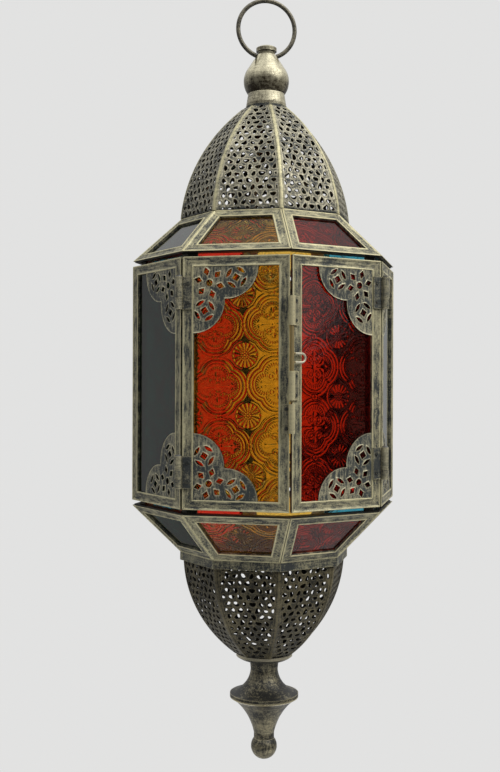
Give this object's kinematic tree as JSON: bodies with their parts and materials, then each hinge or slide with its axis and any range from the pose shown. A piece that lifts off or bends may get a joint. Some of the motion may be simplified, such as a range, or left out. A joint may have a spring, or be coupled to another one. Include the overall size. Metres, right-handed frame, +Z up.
{
  "type": "hanging fanous lantern",
  "caption": "Hanging octagonal fanous candle lantern: pierced domes, coloured embossed glass in channel frames, a pair of hinged doors with a barrel bolt, and a swinging ring.",
  "frame": {"origin": "inside top of the hanging ring, where a hook bears", "axes": "+Z up along the lantern's axis; the corner where the two doors meet points to -Y; +X is to the right of someone who faces the doors"},
  "size_m": [0.1758, 0.1802, 0.5048],
  "materials": {
    "antique_brass": "dark antique patina, worn bright on edges",
    "pierced_sheet": "pierced sheet, antique patina rubbed back on top",
    "brass_wire": "drawn wire, dull antique brass",
    "steel_fixings": "plain steel, lightly oiled",
    "plain_tin": "dull antique sheet",
    "glass_green": "embossed rolled glass",
    "glass_amber": "embossed rolled glass",
    "glass_red": "embossed rolled glass",
    "glass_blue": "embossed rolled glass"
  },
  "bodies": {
    "ring": {"hanging_ring": "brass_wire"},
    "lantern": {"top_finial": "antique_brass", "top_stud": "steel_fixings", "crown_plate": "antique_brass", "top_washer": "steel_fixings", "top_nut": "steel_fixings", "upper_dome_gores": "pierced_sheet", "upper_dome_ribs": "antique_brass", "roof_frames": "antique_brass", "roof_panes_green": "glass_green", "roof_panes_amber": "glass_amber", "roof_panes_red": "glass_red", "roof_panes_blue": "glass_blue", "side_frame_right_front": "antique_brass", "side_frame_right_rear": "antique_brass", "side_frame_back_right": "antique_brass", "side_frame_back_left": "antique_brass", "side_frame_left_rear": "antique_brass", "side_frame_left_front": "antique_brass", "side_pane_right_front": "glass_green", "side_pane_right_rear": "glass_blue", "side_pane_back_right": "glass_amber", "side_pane_back_left": "glass_red", "side_pane_left_rear": "glass_blue", "side_pane_left_front": "glass_green", "side_frets": "pierced_sheet", "corner_posts": "antique_brass", "base_frames": "antique_brass", "base_panes_green": "glass_green", "base_panes_amber": "glass_amber", "base_panes_red": "glass_red", "base_panes_blue": "glass_blue", "base_band": "antique_brass", "lower_dome_gores": "pierced_sheet", "lower_dome_ribs": "antique_brass", "lower_collar": "antique_brass", "bottom_finial": "antique_brass", "bottom_stud": "steel_fixings", "bottom_nut": "steel_fixings", "candle_tray": "plain_tin", "candle_cup": "plain_tin", "cup_rivet": "plain_tin", "left_hinge_fixed_leaves": "antique_brass", "right_hinge_fixed_leaves": "antique_brass", "left_hinge_pins": "steel_fixings", "right_hinge_pins": "steel_fixings", "hinge_rivets": "antique_brass"},
    "left_door": {"left_door_frame": "antique_brass", "left_door_pane": "glass_amber", "left_door_frets": "antique_brass", "left_hinge_door_leaves": "antique_brass", "left_door_rivets": "antique_brass", "bolt_keeper": "antique_brass"},
    "right_door": {"right_door_frame": "antique_brass", "right_door_pane": "glass_red", "right_door_frets": "antique_brass", "right_hinge_door_leaves": "antique_brass", "right_door_rivets": "antique_brass", "bolt_guides": "antique_brass"},
    "bolt": {"bolt_rod": "brass_wire"}
  },
  "joints": [
    {"name": "ring_swing", "type": "hinge", "parent": "ring", "child": "lantern", "pos_m": [0, 0, -0.0359], "axis": [1, 0, 0], "range_deg": [-110, 110]},
    {"name": "left_door_hinge", "type": "hinge", "parent": "lantern", "child": "left_door", "pos_m": [-0.06396, -0.06396, -0.2529], "axis": [0, 0, -1], "range_deg": [0, 130]},
    {"name": "right_door_hinge", "type": "hinge", "parent": "lantern", "child": "right_door", "pos_m": [0.06396, -0.06396, -0.2529], "axis": [0, 0, 1], "range_deg": [0, 130]},
    {"name": "bolt_slide", "type": "slide", "parent": "right_door", "child": "bolt", "axis": [0, 0, 1], "range_m": [-0.004, 0.0145]}
  ]
}
